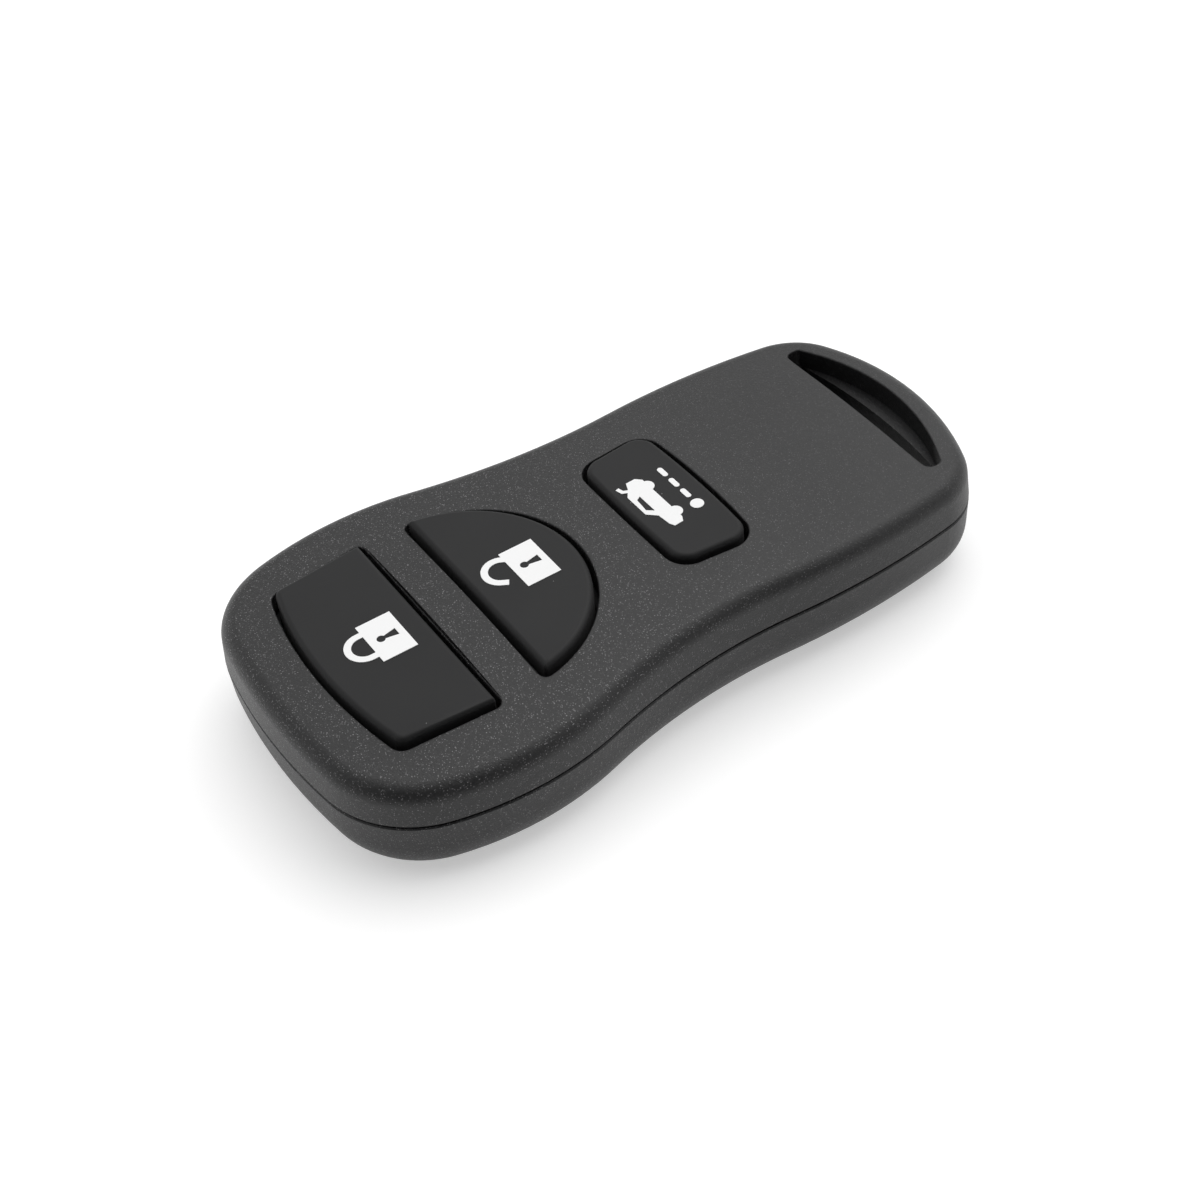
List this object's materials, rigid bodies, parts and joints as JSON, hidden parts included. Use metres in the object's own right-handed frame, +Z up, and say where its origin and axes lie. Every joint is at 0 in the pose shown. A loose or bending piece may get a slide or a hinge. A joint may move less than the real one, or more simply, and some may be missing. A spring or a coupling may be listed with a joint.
{
  "type": "car key fob",
  "caption": "Car key fob with a crowned hourglass plastic casing, rubber lock, unlock and boot buttons, a key ring slot, and a circuit board and coin cell inside.",
  "frame": {"origin": "middle of the box of the fob, on the flat underside that it rests on", "axes": "+X across the fob, +Y along it from the wide lock button end to the key ring end, +Z up out of the button side"},
  "size_m": [0.0352, 0.066, 0.0116],
  "materials": {
    "shell_plastic": "moulded black plastic with a fine spark-eroded texture",
    "keypad_rubber": "smooth matt black silicone rubber",
    "print_white": "screen-printed white ink",
    "board_laminate": "green solder mask on glass laminate",
    "cell_steel": "nickel-plated steel",
    "gasket_plastic": "moulded sealing ring",
    "contact_metal": "bright stamped strip",
    "chip_epoxy": "moulded black epoxy",
    "tinned_metal": "tinned and soldered",
    "crystal_steel": "bright lid",
    "capacitor_ceramic": "fired brown ceramic",
    "resistor_ceramic": "black glazed film on ceramic",
    "ferrite": "dark sintered ferrite",
    "antenna_copper": "bare copper track",
    "switch_plastic": "moulded dark plastic",
    "plunger_plastic": "moulded brown plastic",
    "switch_steel": "thin stamped steel",
    "screw_steel": "black-plated steel"
  },
  "bodies": {
    "casing": {"antenna_loop": "antenna_copper", "back_screw": "screw_steel", "battery_can": "cell_steel", "battery_cap": "cell_steel", "battery_gasket": "gasket_plastic", "bottom_shell": "shell_plastic", "capacitors": "capacitor_ceramic", "chip_terminals": "tinned_metal", "circuit_board": "board_laminate", "controller_body": "chip_epoxy", "controller_pins": "tinned_metal", "crystal_can": "crystal_steel", "inductor": "ferrite", "keypad_sheet": "keypad_rubber", "lock_button_web": "keypad_rubber", "lock_snap_dome": "switch_steel", "lock_switch_base": "switch_plastic", "lock_switch_cover": "switch_steel", "negative_contact": "contact_metal", "positive_contact": "contact_metal", "radio_chip": "chip_epoxy", "resistors": "resistor_ceramic", "top_shell": "shell_plastic", "trunk_button_web": "keypad_rubber", "trunk_snap_dome": "switch_steel", "trunk_switch_base": "switch_plastic", "trunk_switch_cover": "switch_steel", "unlock_button_web": "keypad_rubber", "unlock_snap_dome": "switch_steel", "unlock_switch_base": "switch_plastic", "unlock_switch_cover": "switch_steel"},
    "lock_key": {"lock_button": "keypad_rubber", "lock_print": "print_white"},
    "lock_plunger": {"lock_switch_plunger": "plunger_plastic"},
    "unlock_key": {"unlock_button": "keypad_rubber", "unlock_print": "print_white"},
    "unlock_plunger": {"unlock_switch_plunger": "plunger_plastic"},
    "trunk_key": {"trunk_button": "keypad_rubber", "trunk_print": "print_white", "hold_print": "print_white"},
    "trunk_plunger": {"trunk_switch_plunger": "plunger_plastic"}
  },
  "joints": [
    {"name": "lock_press", "type": "slide", "parent": "casing", "child": "lock_key", "axis": [0, 0, -1], "range_m": [0, 0.0003], "stiffness_N_per_m": 800, "springref_m": -0.0005, "deforming": ["lock_button_web"]},
    {"name": "lock_plunger_slide", "type": "slide", "parent": "casing", "child": "lock_plunger", "axis": [0, 0, -1], "range_m": [0, 0.0003], "deforming": ["lock_snap_dome"]},
    {"name": "unlock_press", "type": "slide", "parent": "casing", "child": "unlock_key", "axis": [0, 0, -1], "range_m": [0, 0.0003], "stiffness_N_per_m": 800, "springref_m": -0.0005, "deforming": ["unlock_button_web"]},
    {"name": "unlock_plunger_slide", "type": "slide", "parent": "casing", "child": "unlock_plunger", "axis": [0, 0, -1], "range_m": [0, 0.0003], "deforming": ["unlock_snap_dome"]},
    {"name": "trunk_press", "type": "slide", "parent": "casing", "child": "trunk_key", "axis": [0, 0, -1], "range_m": [0, 0.0003], "stiffness_N_per_m": 800, "springref_m": -0.0005, "deforming": ["trunk_button_web"]},
    {"name": "trunk_plunger_slide", "type": "slide", "parent": "casing", "child": "trunk_plunger", "axis": [0, 0, -1], "range_m": [0, 0.0003], "deforming": ["trunk_snap_dome"]}
  ],
  "couplings": [
    {"joint": "lock_plunger_slide", "follows": "lock_press", "ratio": 1},
    {"joint": "unlock_plunger_slide", "follows": "unlock_press", "ratio": 1},
    {"joint": "trunk_plunger_slide", "follows": "trunk_press", "ratio": 1}
  ]
}
